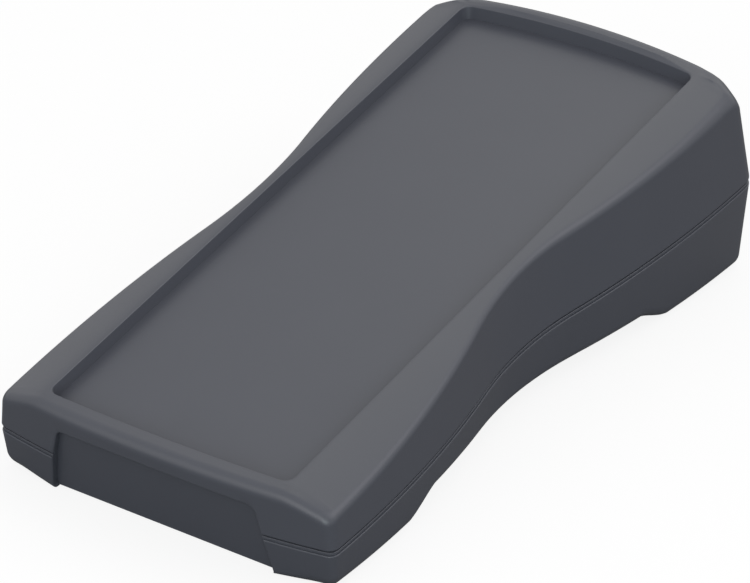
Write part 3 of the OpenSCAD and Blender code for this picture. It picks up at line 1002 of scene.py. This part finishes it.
def plastic(name, colour, roughness):
    material, tree = new_material(name)
    shader = tree.nodes["Principled BSDF"]
    grain = noise(tree, grain_scale, grain_detail)
    drift = noise(tree, drift_scale, drift_detail)
    dark = [(1 - colour_drift) * c for c in colour]
    light = [(1 + colour_drift) * c for c in colour]
    colour_between(tree, drift, "Fac", dark, light, shader, "Base Color")
    smooth, rough = roughness - roughness_drift, roughness + roughness_drift
    value_between(tree, grain, "Fac", smooth, rough, shader, "Roughness")
    bump = tree.nodes.new("ShaderNodeBump")
    bump.inputs["Strength"].default_value = grain_strength
    bump.inputs["Distance"].default_value = grain_height
    link(tree, grain, "Fac", bump, "Height")
    link(tree, bump, "Normal", shader, "Normal")
    return material


def zinc(name):
    material, tree = new_material(name)
    shader = tree.nodes["Principled BSDF"]
    shader.inputs["Metallic"].default_value = 1
    cloud = noise(tree, cloud_scale, cloud_detail)
    colour_between(tree, cloud, "Fac", zinc_dark, zinc_light, shader, "Base Color")
    value_between(tree, cloud, "Fac", zinc_smooth, zinc_rough, shader, "Roughness")
    return material


# The camera sees a floor that is mostly plain white and keeps the object's shadow
def floor_material():
    material, tree = new_material("pale_floor")
    tree.nodes.remove(tree.nodes["Principled BSDF"])
    path = tree.nodes.new("ShaderNodeLightPath")
    matt = tree.nodes.new("ShaderNodeBsdfDiffuse")
    colour_between(tree, path, "Is Camera Ray", floor_round_object, floor_in_view, matt, "Color")
    white = tree.nodes.new("ShaderNodeEmission")
    mix = tree.nodes.new("ShaderNodeMixShader")
    value_between(tree, path, "Is Camera Ray", 0, floor_white_share, mix, 0)
    link(tree, matt, "BSDF", mix, 1)
    link(tree, white, "Emission", mix, 2)
    link(tree, mix, "Shader", tree.nodes["Material Output"], "Surface")
    return material


def dress(obj, material, slot, *nodes):
    obj.data.materials.clear()
    obj.data.materials.append(material)
    obj.data.polygons.foreach_set("use_smooth", [True] * len(obj.data.polygons))
    obj.data.set_sharp_from_angle(angle=math.radians(sharp_angle))
    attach(obj, "root")
    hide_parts(*nodes)


shell_plastic = plastic("graphite_shell", graphite, graphite_roughness)
panel_plastic = plastic("graphite_panel", graphite, graphite_roughness)
dress(top_shell(), shell_plastic, "shell", "top_shell")
dress(bottom_shell(), shell_plastic, "shell", "bottom_shell")
dress(end_panel("thin_panel_plate", -1), panel_plastic, "panel", "thin_end_panel")
dress(end_panel("thick_panel_plate", 1), panel_plastic, "panel", "thick_end_panel")
dress(case_screws(), zinc("zinc_plate"), "screw", "case_screws")

# Floor, light and camera
bpy.ops.mesh.primitive_plane_add(size=floor_size)
floor = bpy.context.object
floor.name = "floor"
floor.location.z = -floor_gap
floor.data.materials.append(floor_material())

scene = bpy.context.scene
scene.view_settings.view_transform = "Standard"
world = bpy.data.worlds.new("studio")
scene.world = world
world.use_nodes = True
sky = world.node_tree.nodes["Background"]
sky.inputs["Color"].default_value = (1, 1, 1, 1)
sky_path = world.node_tree.nodes.new("ShaderNodeLightPath")
value_between(world.node_tree, sky_path, "Is Camera Ray", sky_round_object, sky_in_view, sky, "Strength")


def lamp(name, place, size, power, colour):
    data = bpy.data.lights.new(name, "AREA")
    data.shape = "DISK"
    data.size = size
    data.energy = power
    data.color = colour
    obj = placed(name, data)
    obj.location = place
    obj.rotation_euler = (Vector(lamp_aim) - Vector(place)).to_track_quat("-Z", "Y").to_euler()


lamp("back", place=(-0.125, 0.706, 1.024), size=0.9, power=1.55, colour=(1, 0.98, 0.88))
lamp("right", place=(0.79, 0.319, 0.914), size=1, power=3.3, colour=(1, 0.96, 1))
lamp("front", place=(0.8, -1.1, 0.35), size=0.9, power=5.2, colour=(0.84, 0.98, 1))
lamp("front_middle", place=(0.151, -1.072, 0.625), size=0.8, power=2, colour=(1, 0.97, 0.97))
lamp("front_left", place=(-0.541, -0.9375, 0.625), size=0.9, power=1, colour=(1, 0.97, 0.97))

camera = bpy.data.cameras.new("photo_camera")
camera.sensor_width = sensor_width
camera.lens = focal_length
camera.clip_start = clip_start
camera_object = placed("photo_camera", camera)
camera_object.location = camera_place
camera_object.rotation_euler = camera_turn
scene.camera = camera_object
